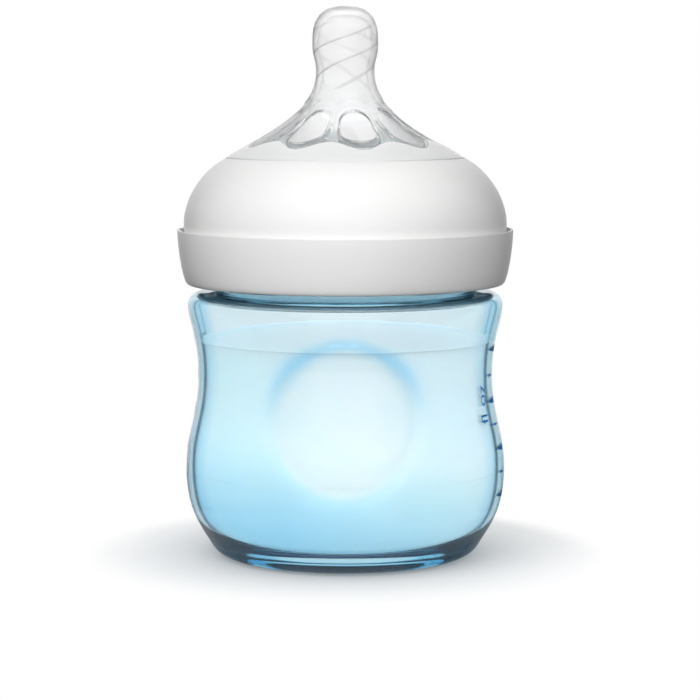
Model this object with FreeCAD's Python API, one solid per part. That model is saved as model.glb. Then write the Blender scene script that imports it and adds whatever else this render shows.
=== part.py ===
import FreeCAD, Part
import math
import os

from FreeCAD import Vector

# Feeding bottle: a waisted bottle, a domed screw ring and a silicone teat, in millimetres.
# Z is the common axis. The bottle stands on Z = 0 and the medallion faces -Y.

# Bottle outline, from the foot up
foot_radius = 22.5
foot_width = 1.4           # flat of the foot ring, which stands on the table
foot_hollow = 0.8          # rise of the underside within the foot ring
foot_slope = 1.6           # width of the slope from the foot ring up to that hollow
heel_reach = 5.5           # how far the heel's rounding stands out past the foot ring
heel_height = 2.4
belly_radius = 33.25
belly_height = 18.4
waist_radius = 30.65
waist_height = 38.0
shoulder_height = 52.3
shoulder_drop = 2.8        # from the shoulder's widest height up to its flat top
shoulder_round = 3.2       # how far the rounding reaches in across the flat top
shoulder_flat = 1.75       # flat between that rounding and the neck's fillet
neck_radius = 27.0
neck_height = 14.9         # from the flat of the shoulder to the rim
neck_fillet = 0.8

# Bottle walls
body_wall = 1.2
neck_wall = 1.4
base_thickness = 3.2
floor_margin = 1.0         # how far the flat of the floor ends inside the foot ring's edge

# Medallion: a shallow round dish in the front of the waist
medallion_radius = 17.0
medallion_border = 3.6     # width of its sloping border
medallion_height = 31.5
medallion_depth = 0.6
dish_margin = 0.3          # how far the dish's cutting patch stands off the wall round the medallion
dish_reach = 50.0          # degrees that the patch spans to each side of the front
dish_rows = 10             # rows of the patch on each stretch of the outline
dish_columns = 30

# Thread allowance between the neck and the ring's sleeve
thread_depth = 1.3
thread_clearance = 0.5

# Screw ring
ring_gap = 1.65            # open height between shoulder and ring
skirt_height = 11.2
skirt_taper = 1.7          # how much narrower the skirt is at its foot
skirt_edge = 0.7           # rounding of the lower outer edge
lip_width = 0.5            # raised lip round the top of the skirt
groove_width = 0.85        # groove between that lip and the dome, for the rim of a travel cap
groove_depth = 0.8
cap_seat_height = 1.35     # straight foot of the dome, where a travel cap clips on
dome_height = 13.45
ring_wall = 1.6
sleeve_wall = 1.5
sleeve_gap = 1.55          # between the sleeve and the foot of the dome
sleeve_recess = 0.6        # how far the sleeve ends above the skirt's lower edge
press_rib_wall = 1.3
press_rib_reach = 1.0      # how far the rib reaches in over the neck's rim
press_rib_clearance = 0.4  # between the rib and the teat's snap bead
notch_count = 4            # air notches in the rib's lower edge
notch_width = 2.5
notch_height = 0.8
web_count = 24
web_thickness = 1.0
web_recess = 4.0           # how far the webs end above the skirt's lower edge

# Teat
snap_clearance = 0.3       # all round the ring's opening edge
bead_width = 1.3           # how far the snap bead stands out under the opening edge
bead_height = 1.2
bead_drop = 1.15           # from the ring's underside at the opening to the bead
groove_wall = 1.1
skirt_thickness = 2.0
flange_thickness = 2.0
flange_clearance = 0.5     # between the flange and the ring's sleeve
plug_depth = 1.5           # seal lip that reaches down into the neck
plug_clearance = 0.3
cone_height = 17.25        # from the ring's opening to the nipple's waist
cone_rise = 0.2            # step of the cone's edge above the ring's opening edge
cone_wall = 1.5
nipple_waist_radius = 6.05
bulb_radius = 6.85
bulb_height = 6.7          # from the nipple's waist to its widest
tip_height = 6.9           # from the widest to the tip
nipple_wall = 1.3
tip_wall = 1.6
flow_hole_radius = 0.25
vent_radius = 0.6
vent_count = 2
vent_height = 2.0          # above the flange

# Petals: thin windows moulded into the inside of the cone
petal_count = 9
petal_turn = 10.6          # degrees from the front to the first petal, towards +X
petal_radius = 14.6        # distance of the petal's middle from the axis
petal_length = 12.8
petal_lower_radius = 4.4
petal_upper_radius = 3.5
membrane = 0.8             # silicone left in each window

tool_margin = 10.0         # how far cutting shapes reach past what they cut

# Heights worked out from the sizes above
neck_base = shoulder_height + shoulder_drop
rim_height = neck_base + neck_height
ring_bottom = neck_base + ring_gap
skirt_top = ring_bottom + skirt_height
dome_foot = skirt_top + cap_seat_height
opening_height = dome_foot + dome_height
flange_top = rim_height + flange_thickness
cone_base = opening_height + cone_rise
nipple_waist_height = cone_base + cone_height
bulb_level = nipple_waist_height + bulb_height
tip_level = bulb_level + tip_height

# Radii worked out from the sizes above
heel_radius = foot_radius + heel_reach
floor_radius = foot_radius - floor_margin
shoulder_radius = neck_radius + neck_fillet + shoulder_flat + shoulder_round
sleeve_bore = neck_radius + thread_depth + thread_clearance
sleeve_radius = sleeve_bore + sleeve_wall
cap_seat_radius = sleeve_radius + sleeve_gap + ring_wall
skirt_radius = cap_seat_radius + groove_width + lip_width
skirt_foot_radius = skirt_radius - skirt_taper
press_rib_bore = neck_radius - press_rib_reach
bead_radius = press_rib_bore - press_rib_clearance
snap_radius = bead_radius - bead_width
opening_radius = snap_radius + snap_clearance
teat_bore = snap_radius - groove_wall
teat_skirt_radius = teat_bore + skirt_thickness
flange_radius = sleeve_bore - flange_clearance
plug_radius = neck_radius - neck_wall - plug_clearance


def at(radius, height):
    return Vector(radius, 0, height)


def line(start, end):
    return Part.makeLine(start, end)


def run(*corners):
    """Straight edges through the corners."""
    return [line(a, b) for a, b in zip(corners, corners[1:])]


def curve(start, leave, arrive, end):
    """Cubic curve that leaves start along one handle and comes into end along the other."""
    bezier = Part.BezierCurve()
    bezier.setPoles([start, start + leave, end - arrive, end])
    return bezier.toShape()


def inset(edge, depth, steps=8):
    """The same curve moved towards the inside of the wall."""
    low, high = edge.ParameterRange
    points, tangents = [], []
    for i in range(steps + 1):
        place = low + (high - low) * i / steps
        along = edge.tangentAt(place)
        points.append(edge.valueAt(place) + Vector(-along.z, 0, along.x) * depth)
        tangents.append(along)
    spline = Part.BSplineCurve()
    spline.interpolate(Points=points, InitialTangent=tangents[0], FinalTangent=tangents[-1])
    return spline.toShape()


def turned(edges):
    """Solid of revolution about Z; the edges run from one end of the outline to the other."""
    first = edges[0].firstVertex().Point
    last = edges[-1].lastVertex().Point
    if (last - first).Length > 1e-6:
        edges = edges + [line(last, first)]
    face = Part.Face(Part.Wire(edges))
    return face.revolve(Vector(0, 0, 0), Vector(0, 0, 1), 360)


def tube(outer, inner, low, high):
    """Ring of rectangular section."""
    start = Vector(0, 0, low)
    return Part.makeCylinder(outer, high - low, start).cut(Part.makeCylinder(inner, high - low, start))


def turned_copies(shape, count, first=0.0):
    """Copies spread evenly about Z, the first one turned by the given degrees."""
    turns = [first + 360.0 * i / count for i in range(count)]
    return [shape.rotated(Vector(0, 0, 0), Vector(0, 0, 1), turn) for turn in turns]


def end_of(edge):
    return edge.lastVertex().Point


def start_of(edge):
    return edge.firstVertex().Point


# ---- bottle ----

def bottle_side():
    """Outside of the bottle's wall from the heel to the edge of its flat shoulder."""
    heel = at(heel_radius, heel_height)
    belly = at(belly_radius, belly_height)
    waist = at(waist_radius, waist_height)
    shoulder = at(shoulder_radius, shoulder_height)
    rise = belly_height - heel_height
    narrowing = waist_height - belly_height
    widening = shoulder_height - waist_height
    return [
        curve(heel, at(0.15 * rise, 0.25 * rise), at(0, 0.55 * rise), belly),
        curve(belly, at(0, 0.40 * narrowing), at(0, 0.45 * narrowing), waist),
        curve(waist, at(0, 0.53 * widening), at(0, 0.21 * widening), shoulder),
        curve(
            shoulder,
            at(0, 0.45 * shoulder_drop),
            at(-0.75 * shoulder_round, 0),
            at(shoulder_radius - shoulder_round, neck_base),
        ),
    ]


def foot_edges():
    """Underside: a slight hollow, the flat foot ring and the rounding out to the heel."""
    hollow = at(foot_radius - foot_width - foot_slope, foot_hollow * 0.7)
    inner_foot = at(foot_radius - foot_width, 0)
    foot = at(foot_radius, 0)
    heel = at(heel_radius, heel_height)
    reach = heel_radius - foot_radius
    return [
        curve(at(0, foot_hollow), at(0.4 * hollow.x, 0), at(0.3 * hollow.x, 0), hollow),
        curve(hollow, at(0.5 * foot_slope, 0), at(0.3 * foot_slope, 0), inner_foot),
        line(inner_foot, foot),
        curve(foot, at(0.6 * reach, 0), at(0.3 * heel_height, 0.5 * heel_height), heel),
    ]


def neck_edges(radius, foot_level, rim_level, fillet):
    """Quarter round at the foot of the neck and the straight neck up to its rim."""
    centre = at(radius + fillet, foot_level + fillet)
    middle = centre - at(fillet * math.sqrt(0.5), fillet * math.sqrt(0.5))
    foot = at(radius + fillet, foot_level)
    spring = at(radius, foot_level + fillet)
    return [Part.Arc(foot, middle, spring).toShape(), line(spring, at(radius, rim_level))]


def bottle_outside():
    side = bottle_side()
    neck = neck_edges(neck_radius, neck_base, rim_height, neck_fillet)
    flat = line(end_of(side[-1]), start_of(neck[0]))
    return turned(foot_edges() + side + [flat] + neck + [line(end_of(neck[-1]), at(0, rim_height))])


def bottle_cavity():
    side = [inset(edge, body_wall) for edge in bottle_side()[1:]]
    belly = start_of(side[0])
    rise = belly_height - base_thickness
    floor = at(floor_radius, base_thickness)
    heel = curve(floor, at(0.6 * (belly.x - floor_radius), 0), at(0, 0.7 * rise), belly)
    bore = neck_radius - neck_wall
    neck = neck_edges(bore, neck_base - body_wall, rim_height + tool_margin, neck_fillet)
    flat = line(end_of(side[-1]), start_of(neck[0]))
    lid = line(end_of(neck[-1]), at(0, rim_height + tool_margin))
    return turned([line(at(0, base_thickness), floor), heel] + side + [flat] + neck + [lid])


def dish_front(wall):
    """Everything in front of a patch that dips into the wall within the medallion.

    The patch follows the bottle's side, wall inside it. Its extra inset is a smooth step over the
    medallion's border, from dish_margin outside the wall's face to the dish's floor below it.
    """
    rows = []
    for edge in bottle_side()[:3]:
        low, high = edge.ParameterRange
        for i in range(dish_rows):
            place = low + (high - low) * i / dish_rows
            rows.append((edge.valueAt(place), edge.tangentAt(place)))
    grid = []
    for spot, along in rows:
        row = []
        for i in range(dish_columns + 1):
            turn = math.radians(dish_reach * (2 * i / dish_columns - 1))
            across = spot.x * math.sin(turn)
            distance = math.hypot(across, spot.z - medallion_height)
            step = (medallion_radius - distance) / medallion_border
            step = min(max(step, 0), 1)
            ease = step * step * (3 - 2 * step)
            depth = wall - dish_margin + (medallion_depth + dish_margin) * ease
            radius = spot.x - along.z * depth
            row.append(Vector(radius * math.sin(turn), -radius * math.cos(turn), spot.z + along.x * depth))
        grid.append(row)
    patch = Part.BSplineSurface()
    patch.interpolate(grid)
    return patch.toShape().extrude(Vector(0, -belly_radius, 0))


def bottle():
    cavity = bottle_cavity().cut(dish_front(body_wall))
    return bottle_outside().cut(dish_front(0)).cut(cavity)


# ---- screw ring ----

def dome_curve():
    return curve(
        at(cap_seat_radius, dome_foot),
        at(0, 0.28 * dome_height),
        at(-0.47 * dome_height, 0.245 * dome_height),
        at(opening_radius, opening_height),
    )


def skirt_curve():
    height = skirt_height - skirt_edge
    return curve(
        at(skirt_foot_radius, ring_bottom + skirt_edge * 0.6),
        at(0.7, 0.11 * height),
        at(0, 0.37 * height),
        at(skirt_radius, skirt_top),
    )


def ring_outside():
    skirt = skirt_curve()
    dome = dome_curve()
    lip = skirt_radius - lip_width
    lower = at(skirt_foot_radius - skirt_edge, ring_bottom)
    return turned(
        [line(at(opening_radius, ring_bottom), lower)]
        + [curve(lower, at(0.6 * skirt_edge, 0), at(0.2, 0.25), start_of(skirt)), skirt]
        + run(
            at(skirt_radius, skirt_top),
            at(lip, skirt_top),
            at(lip, skirt_top - groove_depth),
            at(cap_seat_radius, skirt_top - groove_depth),
            at(cap_seat_radius, dome_foot),
        )
        + [dome]
    )


def ring_hollow():
    """Everything inside the ring's outer wall, open at the bottom and at the top."""
    skirt = inset(skirt_curve(), ring_wall)
    dome = inset(dome_curve(), ring_wall)
    below = ring_bottom - 1
    plate = skirt_top - groove_depth - ring_wall
    within_skirt = turned(
        run(at(0, below), at(start_of(skirt).x, below), start_of(skirt))
        + [skirt]
        + run(end_of(skirt), at(0, end_of(skirt).z))
    ).common(Part.makeCylinder(skirt_radius, plate - below, Vector(0, 0, below)))
    within_dome = turned(
        run(at(0, below), at(cap_seat_radius - ring_wall, below), start_of(dome))
        + [dome]
        + run(end_of(dome), at(0, end_of(dome).z))
    )
    return within_skirt.fuse(within_dome)


def webs():
    """Thin radial webs between the sleeve and the skirt."""
    inner = sleeve_bore + sleeve_wall / 2
    low = ring_bottom + web_recess
    web = Part.makeBox(
        skirt_radius - inner - ring_wall / 2, web_thickness, skirt_top - low, Vector(inner, -web_thickness / 2, low)
    )
    return turned_copies(web, web_count)


def air_notches():
    """Gaps under the pressing rib that lead air to the teat's vents."""
    notch = Part.makeBox(
        sleeve_bore - press_rib_bore,
        notch_width,
        notch_height,
        Vector(press_rib_bore - press_rib_clearance / 2, -notch_width / 2, flange_top),
    )
    return turned_copies(notch, notch_count)


def screw_ring():
    body = ring_outside()
    shell = body.cut(ring_hollow())
    sleeve = tube(sleeve_radius, sleeve_bore, ring_bottom + sleeve_recess, opening_height)
    press_rib = tube(press_rib_bore + press_rib_wall, press_rib_bore, flange_top, opening_height)
    for notch in air_notches():
        press_rib = press_rib.cut(notch)
    inner = sleeve.multiFuse([press_rib] + webs()).common(body)
    return shell.fuse(inner).removeSplitter()


# ---- teat ----

def cone_curve(base, waist, lean):
    """Flared side from its base up to the nipple's waist; lean is the run of its lower handle."""
    return curve(base, at(-lean, 0.176 * cone_height), at(0, 0.52 * cone_height), waist)


def nipple_edges(waist, bulb, tip):
    neck = curve(waist, at(0, 0.46 * bulb_height), at(0, 0.6 * bulb_height), bulb)
    rise = tip.z - bulb.z
    cap = curve(bulb, at(0, 0.94 * rise), at(-0.36 * bulb.x, 0), tip)
    return [neck, cap]


def outer_cone():
    return cone_curve(at(snap_radius, cone_base), at(nipple_waist_radius, nipple_waist_height), 4.0)


def teat_outside():
    cone = outer_cone()
    bead_top = opening_height - ring_wall - bead_drop
    bead_low = bead_top - bead_height
    base = run(
        at(0, rim_height - plug_depth),
        at(plug_radius, rim_height - plug_depth),
        at(plug_radius, rim_height),
        at(flange_radius, rim_height),
        at(flange_radius, flange_top),
        at(teat_skirt_radius, flange_top),
        at(teat_skirt_radius, bead_low),
        at(bead_radius, bead_low),
        at(bead_radius, bead_top),
        at(snap_radius, bead_top),
        at(snap_radius, cone_base),
    )
    nipple = nipple_edges(end_of(cone), at(bulb_radius, bulb_level), at(0, tip_level))
    return turned(base + [cone] + nipple)


def teat_inside():
    cone = inset(outer_cone(), cone_wall)
    start = at(teat_bore, start_of(cone).z)
    waist = at(nipple_waist_radius - nipple_wall, nipple_waist_height)
    inner_cone = cone_curve(start, waist, 4.0)
    nipple = nipple_edges(waist, at(bulb_radius - nipple_wall, bulb_level), at(0, tip_level - tip_wall))
    below = rim_height - plug_depth - 1
    return turned(run(at(0, below), at(teat_bore, below), start) + [inner_cone] + nipple)


def petal_outline(middle, along):
    """Oval face on the cone: a wide round end below, a narrower one above."""
    across = Vector(0, 1, 0)
    low = petal_lower_radius - petal_length / 2
    high = petal_length / 2 - petal_upper_radius
    tilt = math.asin((petal_lower_radius - petal_upper_radius) / (high - low))

    def on_ring(centre, radius, angle):
        return middle + across * (radius * math.cos(angle)) + along * (centre + radius * math.sin(angle))

    half_turn = math.pi / 2
    lower = [on_ring(low, petal_lower_radius, a) for a in (tilt, -half_turn, math.pi - tilt)]
    upper = [on_ring(high, petal_upper_radius, a) for a in (math.pi - tilt, half_turn, tilt)]
    edges = [
        Part.Arc(*lower).toShape(),
        line(lower[2], upper[0]),
        Part.Arc(*upper).toShape(),
        line(upper[2], lower[0]),
    ]
    return Part.Face(Part.Wire(edges))


def petals():
    """Pockets from the inside that leave a thin window in the cone's outer skin."""
    cone = outer_cone()
    upright = line(at(petal_radius, cone_base - 1), at(petal_radius, nipple_waist_height))
    middle = cone.distToShape(upright)[1][0][0]
    along = cone.tangentAt(cone.Curve.parameter(middle))
    inward = Vector(-along.z, 0, along.x)
    bar = petal_outline(middle - inward * cone_wall, along).extrude(inward * (4 * cone_wall))
    skin = inset(cone, membrane)
    core = turned(
        run(at(0, start_of(skin).z), start_of(skin)) + [skin] + run(end_of(skin), at(0, end_of(skin).z))
    )
    pocket = bar.common(core)
    return turned_copies(pocket, petal_count, petal_turn - 90)


def vents():
    """Small air holes through the teat's skirt, under the snap bead."""
    level = flange_top + vent_height
    hole = Part.makeCylinder(vent_radius, bead_radius, Vector(0, 0, level), Vector(1, 0, 0))
    return turned_copies(hole, vent_count)


def teat():
    wall = teat_outside().cut(teat_inside())
    flow_hole = Part.makeCylinder(flow_hole_radius, 2 * tip_wall, Vector(0, 0, tip_level - 1.5 * tip_wall))
    for cut in petals() + vents() + [flow_hole]:
        wall = wall.cut(cut)
    return wall


def main():
    os.makedirs("parts", exist_ok=True)
    for name, make in (("bottle", bottle), ("screw_ring", screw_ring), ("teat", teat)):
        shape = make()
        solids = shape.Solids
        print(name, len(solids), "solid", round(shape.Volume / 1000, 2), "ml", shape.isValid())
        shape = solids[0] if len(solids) == 1 else shape
        shape.exportStep("parts/" + name + ".step")


main()
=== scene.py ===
import math

import bmesh
import bpy
import numpy as np
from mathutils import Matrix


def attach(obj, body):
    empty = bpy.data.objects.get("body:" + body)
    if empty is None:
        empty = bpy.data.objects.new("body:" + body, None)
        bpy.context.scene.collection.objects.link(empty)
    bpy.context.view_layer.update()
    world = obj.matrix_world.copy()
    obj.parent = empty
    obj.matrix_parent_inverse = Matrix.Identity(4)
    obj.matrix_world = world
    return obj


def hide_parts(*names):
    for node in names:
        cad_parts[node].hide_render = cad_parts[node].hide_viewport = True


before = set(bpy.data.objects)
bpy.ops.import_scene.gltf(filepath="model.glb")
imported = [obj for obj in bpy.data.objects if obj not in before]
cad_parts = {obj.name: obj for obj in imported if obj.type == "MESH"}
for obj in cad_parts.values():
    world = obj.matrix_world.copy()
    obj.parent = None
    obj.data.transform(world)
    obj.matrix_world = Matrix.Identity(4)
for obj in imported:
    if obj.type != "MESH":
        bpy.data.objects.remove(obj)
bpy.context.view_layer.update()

mm = 0.001
scene = bpy.context.scene
scene.view_settings.view_transform = "Standard"


def linearColour(hexColour):
    # sRGB hex to the linear values that shaders take
    parts = [int(hexColour[i:i + 2], 16) / 255 for i in (1, 3, 5)]
    return (*[c / 12.92 if c <= 0.04045 else ((c + 0.055) / 1.055) ** 2.4 for c in parts], 1.0)


def addNode(tree, kind, inputs=None, stops=(), **settings):
    # Inputs go by name or number: a socket is linked, a node is linked by its first output, and
    # anything else is the input's own value. Stops are a colour ramp's: (position, hex or grey).
    node = tree.nodes.new(kind)
    for name, value in settings.items():
        setattr(node, name, value)
    for name, value in (inputs or {}).items():
        if isinstance(value, bpy.types.Node):
            value = value.outputs[0]
        if isinstance(value, bpy.types.NodeSocket):
            tree.links.new(value, node.inputs[name])
        else:
            node.inputs[name].default_value = value
    if stops:
        ramp = node.color_ramp.elements
        while len(ramp) < len(stops):
            ramp.new(0.5)
        for element, (position, tone) in zip(ramp, stops):
            element.position = position
            element.color = linearColour(tone) if isinstance(tone, str) else (tone, tone, tone, 1.0)
    return node


def newMaterial(name):
    # an empty material and its node tree
    material = bpy.data.materials.new(name)
    material.use_nodes = True
    material.node_tree.nodes.clear()
    return material, material.node_tree


# Outlines are rows of (radius, height) in millimetres, and surfaces are grids of them turned
# round Z. Angles are 0 at the front (-Y) and grow towards +X.

def bezierRows(start, leave, arrive, end, count):
    # cubic curve through start and end, shaped by a handle at each
    t = np.linspace(0, 1, count)[:, None]
    a, d = np.array(start, float), np.array(end, float)
    b, c = a + np.array(leave, float), d - np.array(arrive, float)
    return (1 - t) ** 3 * a + 3 * (1 - t) ** 2 * t * b + 3 * (1 - t) * t ** 2 * c + t ** 3 * d


def straightRows(start, end, count=2):
    # points at even steps from start to end
    t = np.linspace(0, 1, count)[:, None]
    return (1 - t) * np.array(start, float) + t * np.array(end, float)


def arcRows(centre, radius, first, last, count):
    # arc about a centre, its angles in degrees from outwards (+radius) to upwards (+height)
    t = np.radians(np.linspace(first, last, count))
    return np.stack([centre[0] + radius * np.cos(t), centre[1] + radius * np.sin(t)], axis=1)


def joinRows(*runs):
    # one outline from several runs, with the doubled point at each joint dropped
    kept = [runs[0]]
    for run in runs[1:]:
        kept.append(run[1:] if np.allclose(run[0], kept[-1][-1], atol=1e-6) else run)
    return np.vstack(kept)


def leftNormals(rows):
    # unit normals of an outline, to the left of its travel
    along = np.gradient(rows, axis=0)
    along /= np.linalg.norm(along, axis=1)[:, None] + 1e-12
    return np.stack([-along[:, 1], along[:, 0]], axis=1)


def smoothStep(x, low, high):
    # 0 below low, 1 above high, with a smooth rise between
    t = np.clip((x - low) / (high - low), 0, 1)
    return t * t * (3 - 2 * t)


def turnGrid(rows, columns):
    # an outline's radii and heights, repeated in a column for each angle, and the angles
    angles = np.linspace(0, 2 * math.pi, columns, endpoint=False)
    return np.repeat(rows[:, :1], columns, axis=1), np.repeat(rows[:, 1:], columns, axis=1), angles


def roundAxis(radii, heights, angles):
    # x = radius times sine, y = minus radius times cosine
    return np.stack([radii * np.sin(angles), -radii * np.cos(angles), heights], axis=-1)


def meshPiece(name, points, quads, triangles=(), sharpAngle=40):
    # An object from points in millimetres and faces of their numbers, smooth but for edges past
    # the sharp angle. Points without a face are dropped, and the faces are made to point outwards.
    mesh = bpy.data.meshes.new(name)
    quads = np.asarray(quads, np.int32).reshape(-1, 4)
    triangles = np.asarray(triangles, np.int32).reshape(-1, 3)
    loops = np.concatenate([quads.ravel(), triangles.ravel()])
    sizes = np.concatenate([np.full(len(quads), 4), np.full(len(triangles), 3)])
    mesh.vertices.add(len(points))
    mesh.vertices.foreach_set("co", (np.asarray(points) * mm).astype(np.float32).ravel())
    mesh.loops.add(len(loops))
    mesh.loops.foreach_set("vertex_index", loops)
    mesh.polygons.add(len(sizes))
    mesh.polygons.foreach_set("loop_start", (np.cumsum(sizes) - sizes).astype(np.int32))
    mesh.polygons.foreach_set("use_smooth", np.ones(len(sizes), bool))
    mesh.update(calc_edges=True)
    work = bmesh.new()
    work.from_mesh(mesh)
    bmesh.ops.delete(work, geom=[v for v in work.verts if not v.link_faces], context="VERTS")
    if work.calc_volume(signed=True) < 0:
        bmesh.ops.reverse_faces(work, faces=work.faces[:])
    work.to_mesh(mesh)
    work.free()
    mesh.set_sharp_from_angle(angle=math.radians(sharpAngle))
    piece = bpy.data.objects.new(name, mesh)
    scene.collection.objects.link(piece)
    return piece


def turnedPiece(name, radii, heights, angles, sharpAngle=40):
    # A grid of radii and heights, one row for each outline point and one column for each angle.
    # Both ends of the outline on the axis: each is closed by a fan. Otherwise the last row
    # joins the first, as on a tube bent into a ring.
    rows, columns = radii.shape
    index = np.arange(rows * columns).reshape(rows, columns)
    right = np.roll(index, -1, axis=1)
    poles = radii[0].max() < 1e-6
    low, high = (index[1:-2], index[2:-1]) if poles else (index, np.roll(index, -1, axis=0))
    lowRight, highRight = (right[1:-2], right[2:-1]) if poles else (right, np.roll(right, -1, axis=0))
    quads = np.stack([low, lowRight, highRight, high], axis=-1)
    triangles = []
    if poles:
        bottom, top = np.full(columns, index[0, 0]), np.full(columns, index[-1, 0])
        triangles = np.concatenate([
            np.stack([bottom, right[1], index[1]], axis=-1),
            np.stack([top, index[-2], right[-2]], axis=-1)])
    points = roundAxis(radii, heights, angles).reshape(-1, 3)
    return meshPiece(name, points, quads, triangles, sharpAngle)


def columnEnds(grid):
    # the grid points that a piece closed by fans keeps: one at each pole and all between
    keep = np.ones(grid.shape, bool)
    keep[0, 1:] = keep[-1, 1:] = False
    return keep


def addValues(piece, name, values):
    # a value at each point of a piece, for its material to read
    attribute = piece.data.attributes.new(name, "FLOAT", "POINT")
    attribute.data.foreach_set("value", values.ravel().astype(np.float32))


# Camera, lamps and the surface that the bottle stands on: lengths here are in metres

view = {
    "place": (0.00098, -0.521, 0.09995),
    "down": 6.27,                              # degrees that it looks down
    "lens": 129.2, "film": 36,                 # these two in millimetres
}
cameraData = bpy.data.cameras.new("camera")
cameraData.lens = view["lens"]
cameraData.sensor_width = view["film"]
camera = bpy.data.objects.new("camera", cameraData)
camera.location = view["place"]
camera.rotation_euler = (math.radians(90 - view["down"]), 0, 0)
scene.collection.objects.link(camera)
scene.camera = camera

studio = {
    "worldLight": 0.06,        # the room's light on the bottle
    "glossLight": 1.0,         # how bright polished surfaces mirror the card
    "throughLight": 2.75,      # the same room as what stands inside the bottle gathers it
    "card": (0.28, 0.60),      # white card behind: where its edge starts and ends
    "cardDark": (0.22, 1.0),   # the room beside it, as polished surfaces and clear ones show it
    "lamps": {                 # name: degrees to the right, degrees up, distance, size, watts, mirrored
        "keyLamp": (-32, 38, 0.95, 0.80, 6.5, False),
        "topLamp": (75, 58, 0.95, 1.00, 1.5, False),
        "fillLamp": (12, 14, 1.00, 0.60, 5.0, False),
    },
    "lampsAim": 0.06,          # the height on the axis that they point at
    "floorSize": 6.0,
    "floorDrop": 0.00002,      # how far it lies under the bottle, so that the two don't share a plane
    "floorNear": 1.45,         # brightness of the paper round the bottle, where shadows fall
    "floorBounce": 0.06,       # how much light it sends back up
    "floorFade": (0.034, 0.057),   # where the paper turns into plain white
    "floorThrough": 0.90,      # how much of that white shows and shines through the bottle's plastic
    "floorGathered": 1.7,      # how much of it the milk gathers
    "floorEven": 0.66,         # share of the near paper that only dims with the painted contact shadow close to the bottle
    "floorContactShadow": 0.32,      # how dark the painted contact shadow gets right under the edge
    "contactShadowReach": 0.024,     # how far from the edge that painted shadow reaches
}


def addLamp(name, right, up, distance, size, watts, mirrored):
    # a square lamp on a sphere about the point that it is aimed at
    lamp = bpy.data.lights.new(name, "AREA")
    lamp.size = size
    lamp.energy = watts
    stand = bpy.data.objects.new(name, lamp)
    right, up = math.radians(right), math.radians(up)
    stand.location = (distance * math.cos(up) * math.sin(right), -distance * math.cos(up) * math.cos(right),
                      distance * math.sin(up) + studio["lampsAim"])
    stand.rotation_euler = (math.pi / 2 - up, 0, right)
    stand.visible_glossy = mirrored
    stand.visible_transmission = False
    scene.collection.objects.link(stand)


for lampName, lampSettings in studio["lamps"].items():
    addLamp(lampName, *lampSettings)


def seenRays(tree, gloss):
    # Three masks. straight: a ray from the camera, bent by glass or not, or its mirror image.
    # bent: the part of it that came through glass. gathered: a ray that brings light through
    # glass to a surface behind it, where the lamps' own shadow rays don't reach.
    path = addNode(tree, "ShaderNodeLightPath").outputs
    through = path["Is Transmission Ray"]
    viewing = addNode(tree, "ShaderNodeMath", {0: path["Diffuse Depth"], 1: 0.5}, operation="LESS_THAN")
    bent = addNode(tree, "ShaderNodeMath", {0: through, 1: viewing}, operation="MULTIPLY")
    glossy = addNode(tree, "ShaderNodeMath", {0: path["Is Glossy Ray"], 1: viewing}, operation="MULTIPLY")
    mirrored = addNode(tree, "ShaderNodeMath", {0: glossy, 1: gloss}, operation="MULTIPLY")
    direct = addNode(tree, "ShaderNodeMath", {0: path["Is Camera Ray"], 1: bent}, operation="MAXIMUM")
    straight = addNode(tree, "ShaderNodeMath", {0: direct, 1: mirrored}, operation="MAXIMUM")
    gathered = addNode(tree, "ShaderNodeMath", {0: through, 1: bent}, operation="SUBTRACT")
    return straight, bent, gathered


def cardBehind(tree, direction):
    # 1 straight ahead and behind, falling to the dark of the room at both sides; 1 for the camera
    path = addNode(tree, "ShaderNodeLightPath").outputs
    way = addNode(tree, "ShaderNodeSeparateXYZ", {0: direction})
    sideways = addNode(tree, "ShaderNodeMath", {0: way.outputs["X"]}, operation="ABSOLUTE")
    dark = addNode(tree, "ShaderNodeMapRange", {
        "Value": path["Is Transmission Ray"],
        "To Min": studio["cardDark"][0], "To Max": studio["cardDark"][1]})
    card = addNode(tree, "ShaderNodeMapRange", {
        "Value": sideways, "From Min": studio["card"][0], "From Max": studio["card"][1],
        "To Min": 1.0, "To Max": dark}, interpolation_type="SMOOTHSTEP")
    return addNode(tree, "ShaderNodeMath", {0: card, 1: path["Is Camera Ray"]}, operation="MAXIMUM")


world = bpy.data.worlds.new("studio")
scene.world = world
world.use_nodes = True
sky = world.node_tree
sky.nodes.clear()
straight, bent, gathered = seenRays(sky, studio["glossLight"])
inside = addNode(sky, "ShaderNodeMapRange", {
    "Value": gathered, "To Min": studio["worldLight"], "To Max": studio["throughLight"]})
skyCard = cardBehind(sky, addNode(sky, "ShaderNodeTexCoord").outputs["Generated"])
seen = addNode(sky, "ShaderNodeMath", {0: skyCard, 1: straight}, operation="MULTIPLY")
strength = addNode(sky, "ShaderNodeMath", {0: inside, 1: seen}, operation="MAXIMUM")
room = addNode(sky, "ShaderNodeBackground", {"Color": (1, 1, 1, 1), "Strength": strength})
addNode(sky, "ShaderNodeOutputWorld", {"Surface": room})

half = studio["floorSize"] / 2
floorCorners = [(-half, -half, 0), (half, -half, 0), (half, half, 0), (-half, half, 0)]
floorMesh = bpy.data.meshes.new("floor")
floorMesh.from_pydata(floorCorners, [], [(0, 1, 2, 3)])
floor = bpy.data.objects.new("floor", floorMesh)
floor.location = (0, 0, -studio["floorDrop"])
scene.collection.objects.link(floor)

floorPaper, tree = newMaterial("whitePaperSweep")     # matt studio paper
straight, bent, gathered = seenRays(tree, 1.0)
place = addNode(tree, "ShaderNodeTexCoord").outputs["Object"]
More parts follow.
